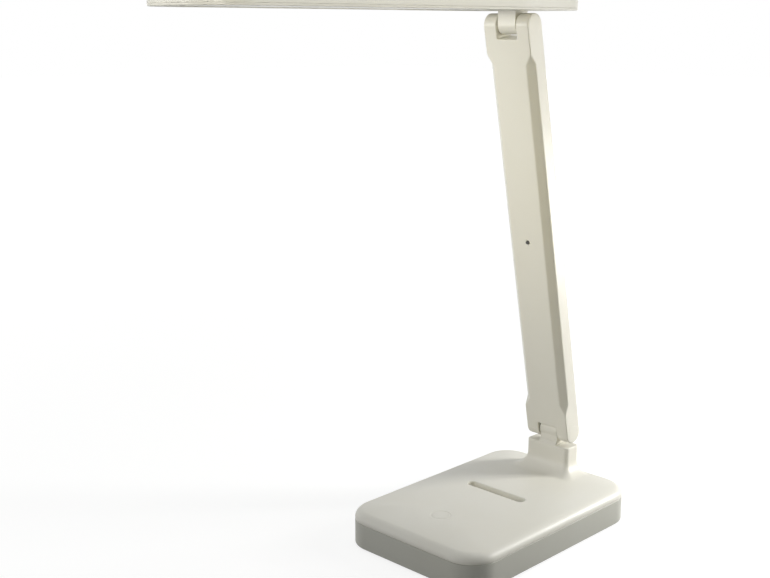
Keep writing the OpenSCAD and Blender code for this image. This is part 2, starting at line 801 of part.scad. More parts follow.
module head_knuckle_screws() color(steel) at_upper() at_knuckle_screws() {
  translate([0, 0, flange_z - small_head_h]) cylinder(r = small_head_r, h = small_head_h - touch);
  translate([0, 0, flange_z - 0.1]) cylinder(r = small_r, h = flange_t + flange_screw_bite);
}

module head_screws() color(steel) at_upper() at_bezel_screws() {
  translate([0, 0, under_z + 0.1]) cylinder(r = small_head_r, h = bezel_screw_deep - 0.1 - touch);
  translate([0, 0, under_z + 0.3]) cylinder(r = small_r, h = bezel_screw_l);
}

anti_slip_pad();
base_bottom_shell();
base_top_cover();
base_weight_plate();
battery_cell();
main_circuit_board();
board_components();
board_standoffs();
board_screws();
usb_c_socket();
touch_electrode();
base_screws();
neck_knuckle();
neck_knuckle_screws();
neck_back_cover();
arm_front_shell();
arm_back_cover();
arm_stiffener();
arm_lead();
arm_screws();
head_rest_buffer();
lower_hinge_pin();
lower_hinge_nut();
lower_friction_washers();
lower_hinge_caps();
upper_hinge_pin();
upper_hinge_nut();
upper_friction_washers();
upper_hinge_caps();
head_top_shell();
head_bottom_bezel();
diffuser_panel();
light_guide();
reflector_sheet();
head_back_plate();
led_strips();
led_chips();
head_knuckle();
head_knuckle_screws();
head_screws();
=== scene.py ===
# Folding LED desk lamp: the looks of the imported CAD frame, in the CAD's axes; shapes below are in millimetres
import bpy, json, math
import numpy as np
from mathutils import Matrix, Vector


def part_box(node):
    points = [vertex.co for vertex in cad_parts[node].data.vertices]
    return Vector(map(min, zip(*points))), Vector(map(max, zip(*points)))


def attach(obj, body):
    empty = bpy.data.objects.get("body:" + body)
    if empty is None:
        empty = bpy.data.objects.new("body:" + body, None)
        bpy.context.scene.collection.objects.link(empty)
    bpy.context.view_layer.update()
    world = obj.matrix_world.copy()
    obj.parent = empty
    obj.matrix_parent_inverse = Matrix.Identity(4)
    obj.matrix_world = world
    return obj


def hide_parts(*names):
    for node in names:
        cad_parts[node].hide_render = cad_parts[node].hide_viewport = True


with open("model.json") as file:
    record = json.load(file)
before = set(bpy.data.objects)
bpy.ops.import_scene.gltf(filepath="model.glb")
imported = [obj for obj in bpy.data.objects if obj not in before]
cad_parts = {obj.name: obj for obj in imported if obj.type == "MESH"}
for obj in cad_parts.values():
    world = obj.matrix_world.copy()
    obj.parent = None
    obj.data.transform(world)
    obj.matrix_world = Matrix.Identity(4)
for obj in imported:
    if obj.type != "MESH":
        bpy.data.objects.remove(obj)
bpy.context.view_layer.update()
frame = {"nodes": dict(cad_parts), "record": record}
nodes = frame["nodes"]
mm = 0.001
joints = {j["name"]: np.array(j["pos_m"]) / mm for j in frame["record"]["behaviour"]["joints"]}
lowerAxis, upperAxis = joints["arm_fold"], joints["head_tilt"]


def boxOf(name):
    # lowest and highest corner of a CAD node
    low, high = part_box(name)
    return np.array(low) / mm, np.array(high) / mm


def meshPiece(name, points, faces):
    # points is an (n, 3) array in millimetres, faces are index lists
    data = bpy.data.meshes.new(name)
    data.from_pydata((np.asarray(points) * mm).tolist(), [], faces)
    data.update()
    obj = bpy.data.objects.new(name, data)
    bpy.context.scene.collection.objects.link(obj)
    return obj


def gridFaces(rows, cols, closeRows=False):
    # quads of a grid whose columns wrap round; the rows wrap too where closeRows is set
    last = rows if closeRows else rows - 1
    r, c = np.meshgrid(np.arange(last), np.arange(cols), indexing="ij")
    up, on = (r + 1) % rows, (c + 1) % cols
    quads = np.stack([r * cols + c, r * cols + on, up * cols + on, up * cols + c], axis=-1)
    return quads.reshape(-1, 4).tolist()


def ringPiece(name, rings, closeRows=False):
    # rings is (rows, cols, 3): first and last ring are closed by flat caps unless the rows wrap
    rows, cols = rings.shape[:2]
    faces = gridFaces(rows, cols, closeRows)
    if not closeRows:
        faces.append(list(range(cols))[::-1])
        faces.append(list(range((rows - 1) * cols, rows * cols)))
    return meshPiece(name, rings.reshape(-1, 3), faces)


def outline(halfX, halfY, radius, arcSteps=12, sideSteps=10):
    # rounded rectangle, anticlockwise from the right side: four quarter arcs joined by straight runs
    turn = np.linspace(0, math.pi / 2, arcSteps + 1)
    start = np.arange(4) * math.pi / 2
    cx = np.array([1, -1, -1, 1]) * (halfX - radius)
    cy = np.array([1, 1, -1, -1]) * (halfY - radius)
    angle = start[:, None] + turn
    arcs = np.stack([cx[:, None] + radius * np.cos(angle), cy[:, None] + radius * np.sin(angle)], axis=-1)
    share = np.arange(1, sideSteps + 1) / (sideSteps + 1)
    ends, nexts = arcs[:, -1], np.roll(arcs[:, 0], -1, axis=0)
    runs = ends[:, None] + (nexts - ends)[:, None] * share[None, :, None]
    return np.concatenate([arcs, runs], axis=1).reshape(-1, 2)


def quarter(inset, z, run, rise, start, end, steps=6):
    # points of a quarter ellipse as (inset, z): inset + run * cos(angle), z + rise * sin(angle)
    angle = np.radians(np.linspace(start, end, steps + 1))
    return np.stack([inset + run * np.cos(angle), z + rise * np.sin(angle)], axis=-1)


def profileLoft(name, plan, profile, centre=(0, 0), arcSteps=12, sideSteps=10):
    # the outline drawn in by each profile point's inset and lifted to its z
    halfX, halfY, radius = plan
    profile = np.concatenate([np.atleast_2d(p) for p in profile])
    rings = np.stack([outline(halfX - d, halfY - d, max(radius - d, 0.05), arcSteps, sideSteps)
                      for d, z in profile])
    rings = rings + np.array(centre)
    z = np.broadcast_to(profile[:, 1][:, None, None], rings.shape[:2] + (1,))
    return ringPiece(name, np.concatenate([rings, z], axis=-1))


def applyModifiers(obj):
    # the evaluated mesh takes the place of the mesh with its modifiers
    graph = bpy.context.evaluated_depsgraph_get()
    made = bpy.data.meshes.new_from_object(obj.evaluated_get(graph))
    obj.modifiers.clear()
    old, obj.data = obj.data, made
    bpy.data.meshes.remove(old)
    return obj


def combine(obj, tools, how="DIFFERENCE"):
    # exact boolean with each tool piece, which is then removed
    for tool in tools:
        step = obj.modifiers.new("cut", "BOOLEAN")
        step.operation, step.solver, step.object = how, "EXACT", tool
        applyModifiers(obj)
        data = tool.data
        bpy.data.objects.remove(tool)
        bpy.data.meshes.remove(data)
    return obj


def shadeSmooth(obj, angle=35):
    # smooth faces that stay sharp where two meet at more than the angle
    obj.data.polygons.foreach_set("use_smooth", np.ones(len(obj.data.polygons), dtype=bool))
    obj.data.set_sharp_from_angle(angle=math.radians(angle))
    return obj


def boxTool(name, low, high):
    # square block between two corners
    (x0, y0, z0), (x1, y1, z1) = low, high
    pts = np.array([[x0, y0, z0], [x1, y0, z0], [x1, y1, z0], [x0, y1, z0],
                    [x0, y0, z1], [x1, y0, z1], [x1, y1, z1], [x0, y1, z1]], float)
    return meshPiece(name, pts, [[3, 2, 1, 0], [4, 5, 6, 7], [0, 1, 5, 4],
                                 [1, 2, 6, 5], [2, 3, 7, 6], [3, 0, 4, 7]])


def roundTool(name, centre, radius, z0, z1, steps=40):
    # upright cylinder
    a = np.linspace(0, 2 * math.pi, steps, endpoint=False)
    ring = np.stack([centre[0] + radius * np.cos(a), centre[1] + radius * np.sin(a)], axis=-1)
    rings = np.stack([np.column_stack([ring, np.full(steps, z)]) for z in (z0, z1)])
    return ringPiece(name, rings)


def bevelEdges(obj, width, segments=3, angle=32):
    # rounds the edges where two faces meet at more than the angle
    step = obj.modifiers.new("edges", "BEVEL")
    step.width, step.segments, step.limit_method = width * mm, segments, "ANGLE"
    step.angle_limit, step.use_clamp_overlap, step.harden_normals = math.radians(angle), False, False
    step.miter_outer = "MITER_ARC"


softening = {"weld": 0.00002, "flatAngle": 0.6, "weight": 60}  # metres, degrees, per cent


def softenNode(name, width, s=softening):
    # a CAD node keeps its mesh: its loose triangles are welded, merged where flat, and its edges rounded
    obj = nodes[name]
    weld = obj.modifiers.new("weld", "WELD")
    weld.merge_threshold = s["weld"]
    flat = obj.modifiers.new("flat", "DECIMATE")
    flat.decimate_type, flat.angle_limit = "DISSOLVE", math.radians(s["flatAngle"])
    bevelEdges(obj, width)
    even = obj.modifiers.new("even", "WEIGHTED_NORMAL")
    even.keep_sharp, even.weight = False, s["weight"]


print("stage: camera")
# place in metres, turn and dip in degrees, focal length and picture width in pixels, sensor in millimetres
cameraView = {"place": (0.4193, -0.5170, 0.2993), "turn": 44.61, "down": 12.70,
              "focal": 1168.0, "width": 770.0, "sensor": 36.0}
cameraData = bpy.data.cameras.new("camera")
cameraData.sensor_width = cameraView["sensor"]
cameraData.lens = cameraView["focal"] / cameraView["width"] * cameraView["sensor"]
cameraData.clip_start, cameraData.clip_end = 0.01, 20.0
camera = bpy.data.objects.new("camera", cameraData)
camera.location = cameraView["place"]
camera.rotation_euler = (math.radians(90 - cameraView["down"]), 0, math.radians(cameraView["turn"]))
bpy.context.scene.collection.objects.link(camera)
bpy.context.scene.camera = camera
bpy.context.scene.view_settings.view_transform = "Standard"


print("stage: shared effects")


def newGroup(name, inputs, outputs):
    tree = bpy.data.node_groups.new(name, "ShaderNodeTree")
    for label, kind, value in inputs:
        socket = tree.interface.new_socket(label, in_out="INPUT", socket_type=kind)
        socket.default_value = value
    for label, kind in outputs:
        tree.interface.new_socket(label, in_out="OUTPUT", socket_type=kind)
    return tree, tree.nodes.new("NodeGroupInput"), tree.nodes.new("NodeGroupOutput")


def addNode(tree, kind, **values):
    node = tree.nodes.new(kind)
    for key, value in values.items():
        setattr(node, key, value)
    return node


def calc(tree, operation, a, b=None, c=None, clamp=False):
    # one math node; a, b and c are sockets or plain numbers
    node = addNode(tree, "ShaderNodeMath", operation=operation, use_clamp=clamp)
    for i, value in enumerate((a, b, c)):
        if value is None:
            continue
        if isinstance(value, bpy.types.NodeSocket):
            tree.links.new(value, node.inputs[i])
        else:
            node.inputs[i].default_value = value
    return node.outputs[0]


def noiseOf(tree, vector, scale, detail=3.0, rough=0.55):
    node = addNode(tree, "ShaderNodeTexNoise")
    tree.links.new(vector, node.inputs["Vector"])
    if isinstance(scale, bpy.types.NodeSocket):
        tree.links.new(scale, node.inputs["Scale"])
    else:
        node.inputs["Scale"].default_value = scale
    node.inputs["Detail"].default_value = detail
    node.inputs["Roughness"].default_value = rough
    return node.outputs["Fac"]


def makeGrainGroup():
    # moulding grain: fine spark texture plus a slow waviness, and a cloudy mask for tone and sheen
    tree, given, out = newGroup("mouldedGrain",
                                [("Grain Scale", "NodeSocketFloat", 2600.0),
                                 ("Cloud Scale", "NodeSocketFloat", 22.0)],
                                [("Height", "NodeSocketFloat"), ("Cloud", "NodeSocketFloat"),
                                 ("Grain", "NodeSocketFloat")])
    at = addNode(tree, "ShaderNodeTexCoord").outputs["Object"]
    fine = noiseOf(tree, at, given.outputs["Grain Scale"], 2.0, 0.5)
    wave = noiseOf(tree, at, 140.0, 1.0, 0.4)
    cloud = noiseOf(tree, at, given.outputs["Cloud Scale"], 4.0, 0.6)
    height = calc(tree, "ADD", calc(tree, "MULTIPLY", fine, 0.7), calc(tree, "MULTIPLY", wave, 0.3))
    tree.links.new(height, out.inputs["Height"])
    tree.links.new(cloud, out.inputs["Cloud"])
    tree.links.new(fine, out.inputs["Grain"])
    return tree


def makeEdgeGroup():
    # worn edge mask: how far the rounded normal turns from the true one, broken up by noise
    tree, given, out = newGroup("edgeWear",
                                [("Radius", "NodeSocketFloat", 0.0008), ("Break Up", "NodeSocketFloat", 0.6)],
                                [("Edge", "NodeSocketFloat")])
    soft = addNode(tree, "ShaderNodeBevel", samples=4)
    tree.links.new(given.outputs["Radius"], soft.inputs["Radius"])
    true = addNode(tree, "ShaderNodeNewGeometry")
    dot = addNode(tree, "ShaderNodeVectorMath", operation="DOT_PRODUCT")
    tree.links.new(soft.outputs["Normal"], dot.inputs[0])
    tree.links.new(true.outputs["Normal"], dot.inputs[1])
    turn = calc(tree, "MULTIPLY", calc(tree, "SUBTRACT", 1.0, dot.outputs["Value"]), 4.0, clamp=True)
    at = addNode(tree, "ShaderNodeTexCoord").outputs["Object"]
    patch = noiseOf(tree, at, 260.0, 3.0, 0.6)
    broken = calc(tree, "SUBTRACT", patch, calc(tree, "MULTIPLY", given.outputs["Break Up"], 0.5))
    tree.links.new(calc(tree, "MULTIPLY", turn, calc(tree, "MULTIPLY", broken, 2.4, clamp=True), clamp=True),
                   out.inputs["Edge"])
    return tree


def makeDustShadeGroup():
    # dust and painted shade in the creases: open sky share turned round and broken up by fine noise; closed-in
    # spots take the crease colour, which paints shade on the pale plastics
    tree, given, out = newGroup("creaseDustAndShade", [("Reach", "NodeSocketFloat", 0.004)],
                                [("Dust And Shade", "NodeSocketFloat")])
    shut = addNode(tree, "ShaderNodeAmbientOcclusion", samples=4, only_local=False)
    tree.links.new(given.outputs["Reach"], shut.inputs["Distance"])
    at = addNode(tree, "ShaderNodeTexCoord").outputs["Object"]
    speck = noiseOf(tree, at, 900.0, 4.0, 0.7)
    deep = calc(tree, "SUBTRACT", 1.0, shut.outputs["AO"])
    tree.links.new(calc(tree, "MULTIPLY", deep, calc(tree, "ADD", speck, 0.35), clamp=True),
                   out.inputs["Dust And Shade"])
    return tree


def makeStreakGroup():
    # rolled or turned metal: noise drawn out along one axis
    tree, given, out = newGroup("metalStreaks", [("Stretch", "NodeSocketVector", (60.0, 4000.0, 4000.0))],
                                [("Streak", "NodeSocketFloat"), ("Blotch", "NodeSocketFloat")])
    at = addNode(tree, "ShaderNodeTexCoord").outputs["Object"]
    drawn = addNode(tree, "ShaderNodeVectorMath", operation="MULTIPLY")
    tree.links.new(at, drawn.inputs[0])
    tree.links.new(given.outputs["Stretch"], drawn.inputs[1])
    tree.links.new(noiseOf(tree, drawn.outputs["Vector"], 1.0, 3.0, 0.6), out.inputs["Streak"])
    tree.links.new(noiseOf(tree, at, 120.0, 3.0, 0.6), out.inputs["Blotch"])
    return tree


grainGroup = makeGrainGroup()
edgeGroup = makeEdgeGroup()
dustShadeGroup = makeDustShadeGroup()
streakGroup = makeStreakGroup()


def useGroup(tree, group, **values):
    node = addNode(tree, "ShaderNodeGroup", node_tree=group)
    for key, value in values.items():
        node.inputs[key.replace("_", " ")].default_value = value
    return node


def blendColor(tree, mask, a, b, how="MIX"):
    # colour a where the mask is 0, colour b where it is 1
    node = addNode(tree, "ShaderNodeMix", data_type="RGBA", blend_type=how)
    tree.links.new(mask, node.inputs["Factor"])
    for socket, value in (("A", a), ("B", b)):
        target = [s for s in node.inputs if s.name == socket and s.type == "RGBA"][0]
        if isinstance(value, bpy.types.NodeSocket):
            tree.links.new(value, target)
        else:
            target.default_value = (*value, 1)
    return [s for s in node.outputs if s.type == "RGBA"][0]


def spread(tree, value, low, high):
    # a mask stretched to a range of values
    node = addNode(tree, "ShaderNodeMapRange")
    tree.links.new(value, node.inputs["Value"])
    node.inputs["From Min"].default_value, node.inputs["From Max"].default_value = 0.3, 0.7
    node.inputs["To Min"].default_value, node.inputs["To Max"].default_value = low, high
    return node.outputs["Result"]


def newMaterial(name):
    material = bpy.data.materials.new(name)
    material.use_nodes = True
    return material, material.node_tree, material.node_tree.nodes["Principled BSDF"]


def bumpInto(tree, shader, height, strength, distance):
    node = addNode(tree, "ShaderNodeBump")
    node.inputs["Strength"].default_value, node.inputs["Distance"].default_value = strength, distance
    tree.links.new(height, node.inputs["Height"])
    tree.links.new(node.outputs["Normal"], shader.inputs["Normal"])


print("stage: materials")


def footShadeBand(tree, top):
    # 1 at the height of the table, falling to 0 at the given height, ragged with noise: painted shade along the
    # foot of a shell where it meets the table
    at = addNode(tree, "ShaderNodeTexCoord").outputs["Object"]
    parts = addNode(tree, "ShaderNodeSeparateXYZ")
    tree.links.new(at, parts.inputs[0])
    rise = calc(tree, "DIVIDE", parts.outputs["Z"], top)
    ragged = calc(tree, "MULTIPLY", noiseOf(tree, at, 420.0, 2.0, 0.6), 0.5)
    return calc(tree, "SUBTRACT", 2.2, calc(tree, "ADD", calc(tree, "MULTIPLY", rise, 1.9), ragged),
                clamp=True)


def mouldedPlastic(name, look):
    # satin moulded plastic: cloudy tone, worn brighter edges, a little dust and painted shade in creases,
    # spark-eroded grain
    material, tree, shader = newMaterial(name)
    grain = useGroup(tree, grainGroup, Grain_Scale=look["grainScale"], Cloud_Scale=look["cloudScale"])
    edge = useGroup(tree, edgeGroup, Radius=look["edgeRadius"])
    dustShade = useGroup(tree, dustShadeGroup, Reach=look["dustShadeReach"])
    tone = blendColor(tree, spread(tree, grain.outputs["Cloud"], 0.0, 1.0), look["color"], look["toneColor"])
    worn = blendColor(tree, calc(tree, "MULTIPLY", edge.outputs["Edge"], look["wear"]),
                      tone, look["edgeColor"])
    # dust and painted shade: the crease colour laid into closed-in spots
    dustShaded = blendColor(tree, calc(tree, "MULTIPLY", dustShade.outputs["Dust And Shade"], look["dustShade"], clamp=True),
                       worn, look["dustShadeColor"])
    # painted shade: a dark band along the foot of the shell, darkest at the table
    if "footShadeTop" in look:
        dustShaded = blendColor(tree, footShadeBand(tree, look["footShadeTop"] * mm), dustShaded, look["footShadeColor"])
    tree.links.new(dustShaded, shader.inputs["Base Color"])
    rough = calc(tree, "ADD", spread(tree, grain.outputs["Cloud"], look["rough"][0], look["rough"][1]),
                 calc(tree, "MULTIPLY", edge.outputs["Edge"], -0.08))
    tree.links.new(rough, shader.inputs["Roughness"])
    bumpInto(tree, shader, grain.outputs["Height"], look["bump"], look["bumpDepth"])
    shader.inputs["IOR"].default_value = look["ior"]
    return material


ivoryLook = {"color": (0.79, 0.775, 0.70), "toneColor": (0.775, 0.755, 0.67), "edgeColor": (0.85, 0.84, 0.77),
             "dustShadeColor": (0.52, 0.49, 0.41), "grainScale": 2600.0, "cloudScale": 18.0,
             "edgeRadius": 0.0007, "dustShadeReach": 0.002, "wear": 0.45, "dustShade": 0.22, "rough": (0.36, 0.46),
             "bump": 0.16, "bumpDepth": 0.0001, "ior": 1.5}
# darker copy of the ivory for the lower shell: partly a darker shell colour, partly painted shade of the base's
# sides; its last two entries add painted shade along its foot
lowerLook = dict(ivoryLook, color=(0.52, 0.52, 0.465), toneColor=(0.505, 0.50, 0.44),
                 edgeColor=(0.70, 0.70, 0.63), rough=(0.42, 0.52),
                 footShadeTop=1.5, footShadeColor=(0.13, 0.12, 0.115))
nylonLook = dict(ivoryLook, color=(0.018, 0.018, 0.019), toneColor=(0.024, 0.024, 0.025),
                 edgeColor=(0.06, 0.06, 0.06), dustShadeColor=(0.12, 0.115, 0.10), rough=(0.45, 0.6), bump=0.3)
sheathLook = dict(ivoryLook, color=(0.55, 0.03, 0.02), toneColor=(0.48, 0.025, 0.02),
                  edgeColor=(0.65, 0.08, 0.05), rough=(0.3, 0.42), bump=0.1)
filmLook = dict(ivoryLook, color=(0.88, 0.88, 0.87), toneColor=(0.85, 0.85, 0.84),
                edgeColor=(0.9, 0.9, 0.9), rough=(0.25, 0.35), bump=0.08)
rubberLook = dict(ivoryLook, color=(0.075, 0.075, 0.072), toneColor=(0.095, 0.095, 0.09),
                  edgeColor=(0.14, 0.14, 0.135), dustShadeColor=(0.3, 0.29, 0.26), dustShade=0.6,
                  grainScale=1400.0, rough=(0.72, 0.88), bump=0.5, bumpDepth=0.00018)
ivory = mouldedPlastic("ivoryShell", ivoryLook)
lowerIvory = mouldedPlastic("lowerShell", lowerLook)
blackNylon = mouldedPlastic("blackNylon", nylonLook)
redSheath = mouldedPlastic("redSheath", sheathLook)
whiteFilm = mouldedPlastic("whiteFilm", filmLook)
padRubber = mouldedPlastic("padRubber", rubberLook)


def metal(name, look):
    # plated or rolled metal: streaked roughness, blotchy tone, edges rubbed bright
    material, tree, shader = newMaterial(name)
    streak = useGroup(tree, streakGroup, Stretch=look["stretch"])
    edge = useGroup(tree, edgeGroup, Radius=0.0004)
    tone = blendColor(tree, spread(tree, streak.outputs["Blotch"], 0.0, 1.0), look["color"],
                      look["toneColor"])
    tree.links.new(blendColor(tree, calc(tree, "MULTIPLY", edge.outputs["Edge"], 0.6), tone,
                              look["edgeColor"]), shader.inputs["Base Color"])
    tree.links.new(spread(tree, streak.outputs["Streak"], look["rough"][0], look["rough"][1]),
                   shader.inputs["Roughness"])
    bumpInto(tree, shader, streak.outputs["Streak"], 0.15, 0.00003)
    shader.inputs["Metallic"].default_value = 1.0
    return material


zincLook = {"color": (0.62, 0.63, 0.65), "toneColor": (0.54, 0.55, 0.56), "edgeColor": (0.78, 0.79, 0.8),
            "stretch": (300.0, 5200.0, 5200.0), "rough": (0.24, 0.40)}
aluminiumLook = {"color": (0.80, 0.81, 0.82), "toneColor": (0.74, 0.75, 0.76), "edgeColor": (0.9, 0.9, 0.91),
                 "stretch": (6000.0, 90.0, 6000.0), "rough": (0.28, 0.42)}
brassLook = {"color": (0.70, 0.50, 0.20), "toneColor": (0.60, 0.41, 0.15), "edgeColor": (0.85, 0.68, 0.36),
             "stretch": (3000.0, 3000.0, 200.0), "rough": (0.22, 0.38)}
zincSteel = metal("zincSteel", zincLook)
rolledAluminium = metal("rolledAluminium", aluminiumLook)
bareBrass = metal("bareBrass", brassLook)


def cellFoilMaterial():
    # crinkled foil pouch: creases from ridged noise in the normal, slight sheen change
    material, tree, shader = newMaterial("cellFoil")
    at = addNode(tree, "ShaderNodeTexCoord").outputs["Object"]
    crease = calc(tree, "ABSOLUTE", calc(tree, "SUBTRACT", noiseOf(tree, at, 210.0, 3.0, 0.5), 0.5))
    tree.links.new(blendColor(tree, calc(tree, "MULTIPLY", crease, 4.0, clamp=True),
                              (0.50, 0.51, 0.53), (0.66, 0.67, 0.69)), shader.inputs["Base Color"])
    tree.links.new(spread(tree, crease, 0.28, 0.44), shader.inputs["Roughness"])
    bumpInto(tree, shader, crease, 0.7, 0.0006)
    shader.inputs["Metallic"].default_value = 0.9
    return material


def boardMaterial():
    # solder mask with copper tracks that show as paler lines under it
    material, tree, shader = newMaterial("solderMask")
    at = addNode(tree, "ShaderNodeTexCoord").outputs["Object"]
    cells = addNode(tree, "ShaderNodeTexVoronoi", feature="DISTANCE_TO_EDGE")
    tree.links.new(at, cells.inputs["Vector"])
    cells.inputs["Scale"].default_value = 260.0
    cells.inputs["Randomness"].default_value = 0.35
    track = calc(tree, "LESS_THAN", cells.outputs["Distance"], 0.07)
    tree.links.new(blendColor(tree, track, (0.012, 0.105, 0.045), (0.03, 0.20, 0.09)),
                   shader.inputs["Base Color"])
    tree.links.new(spread(tree, noiseOf(tree, at, 400.0), 0.25, 0.38), shader.inputs["Roughness"])
    bumpInto(tree, shader, track, 0.4, 0.00004)
    return material


def milkyMaterial():
    # opal acrylic: slow cloud in the tone, soft gloss, light scattered inside
    material, tree, shader = newMaterial("milkyAcrylic")
    grain = useGroup(tree, grainGroup, Grain_Scale=1800.0, Cloud_Scale=12.0)
    tree.links.new(blendColor(tree, spread(tree, grain.outputs["Cloud"], 0.0, 1.0),
                              (0.88, 0.88, 0.84), (0.85, 0.85, 0.81)), shader.inputs["Base Color"])
    tree.links.new(spread(tree, grain.outputs["Cloud"], 0.28, 0.36), shader.inputs["Roughness"])
    bumpInto(tree, shader, grain.outputs["Height"], 0.08, 0.00005)
    shader.inputs["Subsurface Weight"].default_value = 0.35
    shader.inputs["Subsurface Radius"].default_value = (0.002, 0.002, 0.0018)
    shader.inputs["Emission Color"].default_value = (1.0, 0.97, 0.90, 1)
    shader.inputs["Emission Strength"].default_value = 0.12
    return material


def guideMaterial():
    # clear acrylic sheet with a grid of white dots that turn the light out
    material, tree, shader = newMaterial("clearGuide")
    at = addNode(tree, "ShaderNodeTexCoord").outputs["Object"]
    cells = addNode(tree, "ShaderNodeTexVoronoi", feature="F1")
    tree.links.new(at, cells.inputs["Vector"])
    cells.inputs["Scale"].default_value = 600.0
    cells.inputs["Randomness"].default_value = 0.0
    dot = calc(tree, "LESS_THAN", cells.outputs["Distance"], 0.28)
    tree.links.new(blendColor(tree, dot, (0.90, 0.94, 0.95), (0.96, 0.96, 0.95)), shader.inputs["Base Color"])
    tree.links.new(spread(tree, dot, 0.05, 0.4), shader.inputs["Roughness"])
    shader.inputs["Transmission Weight"].default_value = 0.85
    shader.inputs["IOR"].default_value = 1.49
    return material


def chipMaterial():
    # phosphor window in a white package
    material, tree, shader = newMaterial("phosphorChip")
    at = addNode(tree, "ShaderNodeTexCoord").outputs["Object"]
    tree.links.new(blendColor(tree, spread(tree, noiseOf(tree, at, 1500.0), 0.0, 1.0),
                              (0.86, 0.72, 0.18), (0.90, 0.80, 0.34)), shader.inputs["Base Color"])
    tree.links.new(spread(tree, noiseOf(tree, at, 3000.0), 0.35, 0.5), shader.inputs["Roughness"])
    return material


cellFoil, solderMask, milky = cellFoilMaterial(), boardMaterial(), milkyMaterial()
clearGuide, phosphorChip = guideMaterial(), chipMaterial()

nodesOf = [
    (ivory, "base_top_cover neck_knuckle neck_back_cover arm_front_shell arm_back_cover lower_hinge_caps "
            "upper_hinge_caps head_top_shell head_bottom_bezel head_knuckle"),
    (lowerIvory, "base_bottom_shell"),
    (padRubber, "anti_slip_pad head_rest_buffer"),
    (zincSteel, "base_weight_plate board_screws usb_c_socket base_screws neck_knuckle_screws arm_stiffener "
                "arm_screws lower_hinge_pin lower_hinge_nut upper_hinge_pin upper_hinge_nut "
                "head_knuckle_screws head_screws"),
    (blackNylon, "board_components lower_friction_washers upper_friction_washers"),
    (bareBrass, "board_standoffs touch_electrode"),
    (whiteFilm, "reflector_sheet led_strips"),
    (cellFoil, "battery_cell"),
    (solderMask, "main_circuit_board"),
    (redSheath, "arm_lead"),
    (milky, "diffuser_panel"),
    (clearGuide, "light_guide"),
    (rolledAluminium, "head_back_plate"),
    (phosphorChip, "led_chips")]
finishOf = {name: finish for finish, names in nodesOf for name in names.split()}
for name, obj in nodes.items():
    obj.data.materials.clear()
    obj.data.materials.append(finishOf[name])


def dress(obj, body, finish, slot, *replaced):
    # a new piece takes its finish and its body, and hides the CAD nodes it stands for
    obj.data.materials.clear()
    obj.data.materials.append(finish)
    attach(obj, body)
    if replaced:
        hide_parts(*replaced)
    return obj


print("stage: lower shell and pad")
shellLow, shellHigh = boxOf("base_bottom_shell")
screwsReach = boxOf("base_screws")[1]
socketLow, socketHigh = boxOf("usb_c_socket")
base = {"halfX": shellHigh[0], "halfY": shellHigh[1], "radius": 18.0, "wall": 2.2,
        "foot": shellLow[2], "rim": shellHigh[2] + 0.16, "floor": 3.0, "floorRound": 0.6,
        "bottomRound": 0.8, "rimRound": 0.4, "footFlat": 0.4,
        "padInset": 5.0, "padDepth": 1.2, "padGap": 0.15, "recessRun": 0.15, "recessRise": 0.1,
        "screwX": screwsReach[0] - 2.8, "screwY": screwsReach[1] - 2.8, "screwHole": 2.95,
        "socketZ": (socketLow[2] + socketHigh[2]) / 2, "socketHalf": (socketHigh[0] - socketLow[0]) / 2,
        "socketTall": (socketHigh[2] - socketLow[2]) / 2, "socketGap": 0.15, "socketLip": 0.55,
        "arcSteps": 20, "sideSteps": 12}
tuckIn = 0.4  # how far a cutting piece reaches past the wall it cuts
midShare = 0.3  # where the one middle point of a small round lies, as a share of its radius


def makeLowerShell(s):
    # profile: pad recess, rounded foot edge, upright side, rim round, inner wall and floor
    recess, foot, rim = s["padInset"] - s["padGap"], s["foot"], s["rim"]
    r, k = s["bottomRound"], s["rimRound"]
    profile = [(recess, s["padDepth"]), (recess, foot + s["recessRise"]), (recess - s["recessRun"], foot),
               (r + s["footFlat"], foot), quarter(r, foot + r, r, r, -90, -180, 7),
               quarter(k, rim - k, k, k, 180, 90, 5), (s["wall"], rim),
               (s["wall"], s["floor"] + s["floorRound"]), (s["wall"] + s["floorRound"], s["floor"])]
    plan = (s["halfX"], s["halfY"], s["radius"])
    shell = profileLoft("lowerShell", plan, profile, arcSteps=s["arcSteps"], sideSteps=s["sideSteps"])
    holes = [roundTool("hole", (x, y), s["screwHole"], 0.0, s["floor"] + tuckIn)
             for x in (-s["screwX"], s["screwX"]) for y in (-s["screwY"], s["screwY"])]
    combine(shell, holes + [usbTool(s)])
    return shadeSmooth(shell)


def usbTool(s):
    # stadium carried along Y through the wall, flared at its outer mouth
    a = np.linspace(0, 2 * math.pi, 48, endpoint=False)
    lip, back = s["socketLip"], s["halfY"]
    flare = np.array([[back - 5, 0.0], [back - lip, 0.0], [back - lip * midShare, lip * midShare],
                      [back, lip], [back + 1, lip + 1]])
    radius = s["socketTall"] + s["socketGap"] + flare[:, 1][:, None]
    x = np.sign(np.cos(a)) * (s["socketHalf"] - s["socketTall"]) + radius * np.cos(a)
    z = s["socketZ"] + radius * np.sin(a)
    y = np.broadcast_to(flare[:, 0][:, None], x.shape)
    return ringPiece("usbTool", np.stack([x, y, z], axis=-1)[:, ::-1])


dress(makeLowerShell(base), "base", lowerIvory, "shell_lower", "base_bottom_shell")

pad = {"halfX": base["halfX"] - base["padInset"], "halfY": base["halfY"] - base["padInset"],
       "radius": base["radius"] - base["padInset"], "top": base["padDepth"], "edge": 0.4,
       "topBreak": 0.1, "topBreakRise": 0.05}


def makePad(s):
    # flat pad with a soft lower edge
    edge = quarter(s["edge"], s["edge"], s["edge"], s["edge"], -90, -180, 4)
    profile = [(s["edge"], 0.0), edge, (0, s["top"] - s["topBreakRise"]), (s["topBreak"], s["top"])]
    return shadeSmooth(profileLoft("antiSlipPad", (s["halfX"], s["halfY"], s["radius"]), profile))


dress(makePad(pad), "base", padRubber, "pad_rubber", "anti_slip_pad")


